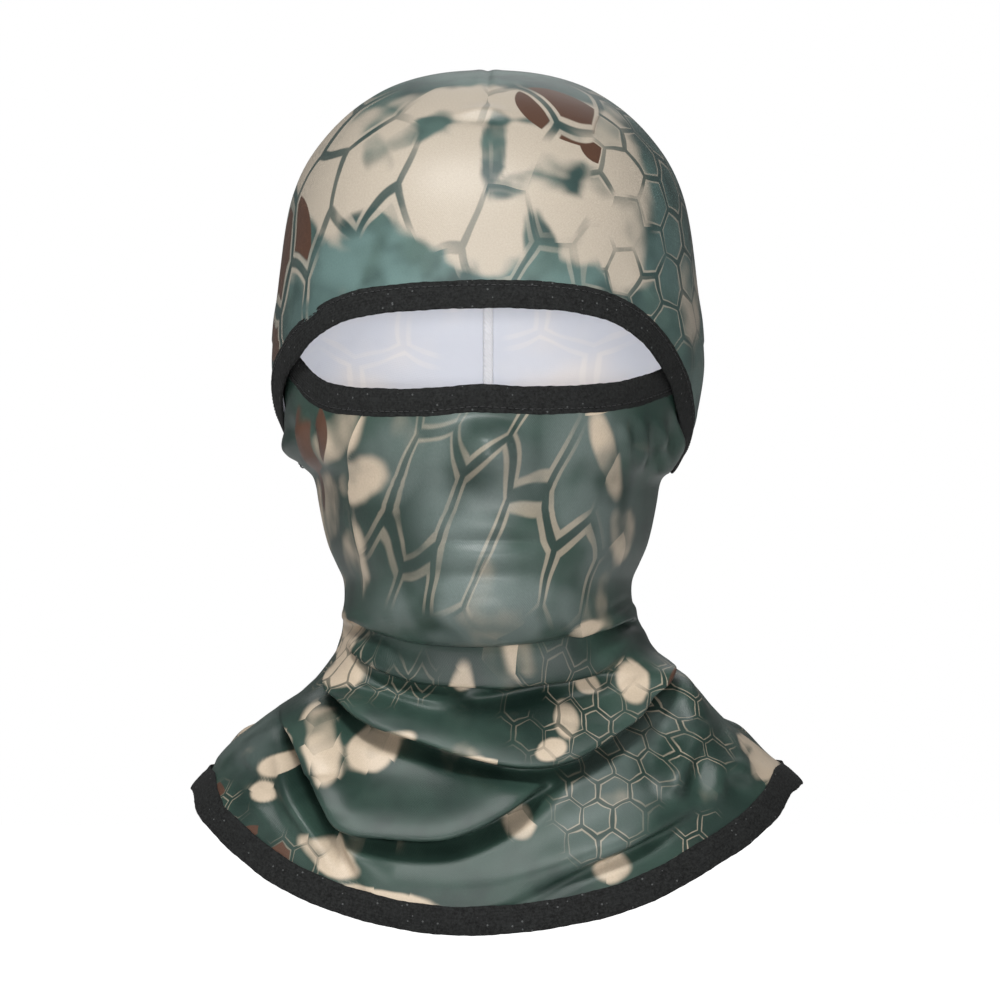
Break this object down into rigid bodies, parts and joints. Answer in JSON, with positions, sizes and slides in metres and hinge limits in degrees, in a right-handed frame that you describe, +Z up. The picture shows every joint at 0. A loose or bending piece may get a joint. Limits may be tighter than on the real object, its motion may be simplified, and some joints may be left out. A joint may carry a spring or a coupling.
{
  "type": "hinged balaclava",
  "caption": "Stretch jersey balaclava with a hood, a bound eye opening, a mask whose top edge pulls down, and a short cape with a bound hem.",
  "frame": {"origin": "the point inside the crown where the top of the head bears", "axes": "+Z up, the wearer faces -Y, +X to the wearer's left"},
  "size_m": [0.2374, 0.216, 0.338],
  "materials": {
    "print_jersey": "smooth printed knit with a slight sheen",
    "elastic_binding": "matt folded elastic",
    "dark_thread": "matt polyester thread",
    "pale_thread": "matt overlock thread",
    "label_tape": "satin woven tape"
  },
  "bodies": {
    "hood_and_cape": {"hood_panel": "print_jersey", "crown_seam": "pale_thread", "mask_panel_lower": "print_jersey", "cape_panel_front": "print_jersey", "cape_panel_back": "print_jersey", "hem_binding": "elastic_binding", "hem_topstitch": "dark_thread", "hem_binding_lap": "elastic_binding", "side_seam_left": "pale_thread", "side_seam_right": "pale_thread", "nape_seam": "pale_thread", "hinge_tack_left": "dark_thread", "hinge_tack_right": "dark_thread", "care_label": "label_tape"},
    "mask_edge": {"mask_panel_upper": "print_jersey", "nose_binding": "elastic_binding", "nose_topstitch": "dark_thread"},
    "brow_edge": {"brow_binding": "elastic_binding", "brow_topstitch": "dark_thread"}
  },
  "joints": [
    {"name": "mask_pull_down", "type": "hinge", "parent": "hood_and_cape", "child": "mask_edge", "pos_m": [0, 0.012, -0.15], "axis": [1, 0, 0], "range_deg": [0, 45]},
    {"name": "brow_edge_lift", "type": "hinge", "parent": "hood_and_cape", "child": "brow_edge", "pos_m": [0, 0.012, -0.15], "axis": [-1, 0, 0], "range_deg": [0, 12]}
  ]
}
